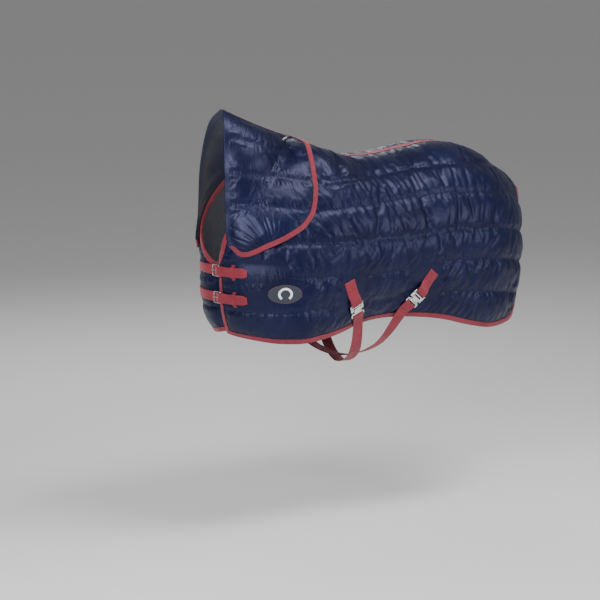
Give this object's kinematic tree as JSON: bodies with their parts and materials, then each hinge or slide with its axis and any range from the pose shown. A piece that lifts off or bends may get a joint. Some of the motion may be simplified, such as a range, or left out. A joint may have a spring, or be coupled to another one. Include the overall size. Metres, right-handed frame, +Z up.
{
  "type": "horse rug",
  "caption": "Quilted horse rug with attached neck cover, bound edges, buckled chest straps and crossed belly surcingles.",
  "frame": {"origin": "on the top line over the horse's withers, at the height of the rug's outer face there", "axes": "+X towards the tail, -X towards the chest, -Y the near (left) side with the buckles and badge, +Z up"},
  "size_m": [1.6188, 0.6671, 1.0975],
  "materials": {
    "navy_nylon": "satin",
    "white_wadding": "matte",
    "navy_lining": "satin",
    "burgundy_tape": "matte",
    "burgundy_webbing": "matte",
    "nickel_plated_steel": "polished",
    "badge_cloth": "matte",
    "badge_thread": "satin"
  },
  "bodies": {
    "rug": {"near_outer_shell": "navy_nylon", "near_wadding": "white_wadding", "near_lining": "navy_lining", "near_neck_outer_shell": "navy_nylon", "near_neck_wadding": "white_wadding", "near_neck_lining": "navy_lining", "near_edge_binding": "burgundy_tape", "near_neck_binding": "burgundy_tape", "off_outer_shell": "navy_nylon", "off_wadding": "white_wadding", "off_lining": "navy_lining", "off_neck_outer_shell": "navy_nylon", "off_neck_wadding": "white_wadding", "off_neck_lining": "navy_lining", "off_edge_binding": "burgundy_tape", "off_neck_binding": "burgundy_tape", "spine_binding": "burgundy_tape", "neck_crest_tape": "navy_nylon", "chest_upper_billet": "burgundy_webbing", "chest_upper_buckle_chape": "burgundy_webbing", "chest_upper_keeper": "burgundy_webbing", "chest_lower_billet": "burgundy_webbing", "chest_lower_buckle_chape": "burgundy_webbing", "chest_lower_keeper": "burgundy_webbing", "surcingle_front_patch": "burgundy_webbing", "surcingle_front_strap": "burgundy_webbing", "surcingle_rear_patch": "burgundy_webbing", "surcingle_rear_strap": "burgundy_webbing", "badge_patch": "badge_cloth", "badge_motif": "badge_thread"},
    "upper_buckle": {"chest_upper_buckle_frame": "nickel_plated_steel"},
    "upper_tongue": {"chest_upper_buckle_tongue": "nickel_plated_steel"},
    "lower_buckle": {"chest_lower_buckle_frame": "nickel_plated_steel"},
    "lower_tongue": {"chest_lower_buckle_tongue": "nickel_plated_steel"},
    "front_plate": {"surcingle_front_plate": "nickel_plated_steel"},
    "front_hook": {"surcingle_front_hook": "nickel_plated_steel"},
    "rear_plate": {"surcingle_rear_plate": "nickel_plated_steel"},
    "rear_hook": {"surcingle_rear_hook": "nickel_plated_steel"}
  },
  "joints": [
    {"name": "upper_buckle_rock", "type": "hinge", "parent": "rug", "child": "upper_buckle", "pos_m": [-0.43828, -0.04, -0.503], "axis": [0, 0, 1], "range_deg": [0, 5]},
    {"name": "upper_tongue_lift", "type": "hinge", "parent": "upper_buckle", "child": "upper_tongue", "pos_m": [-0.43828, -0.04, -0.503], "axis": [0, 0, 1], "range_deg": [0, 12]},
    {"name": "lower_buckle_rock", "type": "hinge", "parent": "rug", "child": "lower_buckle", "pos_m": [-0.43232, -0.04, -0.615], "axis": [0, 0, 1], "range_deg": [0, 5]},
    {"name": "lower_tongue_lift", "type": "hinge", "parent": "lower_buckle", "child": "lower_tongue", "pos_m": [-0.43232, -0.04, -0.615], "axis": [0, 0, 1], "range_deg": [0, 12]},
    {"name": "front_plate_rock", "type": "hinge", "parent": "rug", "child": "front_plate", "pos_m": [0.0631, -0.30927, -0.65509], "axis": [0.914, -0.0813, 0.3974], "range_deg": [-1, 1]},
    {"name": "front_hook_rock", "type": "hinge", "parent": "rug", "child": "front_hook", "pos_m": [0.08655, -0.28702, -0.70445], "axis": [0.914, -0.0813, 0.3974], "range_deg": [-1, 1]},
    {"name": "rear_plate_rock", "type": "hinge", "parent": "rug", "child": "rear_plate", "pos_m": [0.38371, -0.32426, -0.63854], "axis": [0.7802, 0.0825, -0.6201], "range_deg": [-1, 1]},
    {"name": "rear_hook_rock", "type": "hinge", "parent": "rug", "child": "rear_hook", "pos_m": [0.34818, -0.3026, -0.68036], "axis": [0.7802, 0.0825, -0.6201], "range_deg": [-1, 1]}
  ]
}
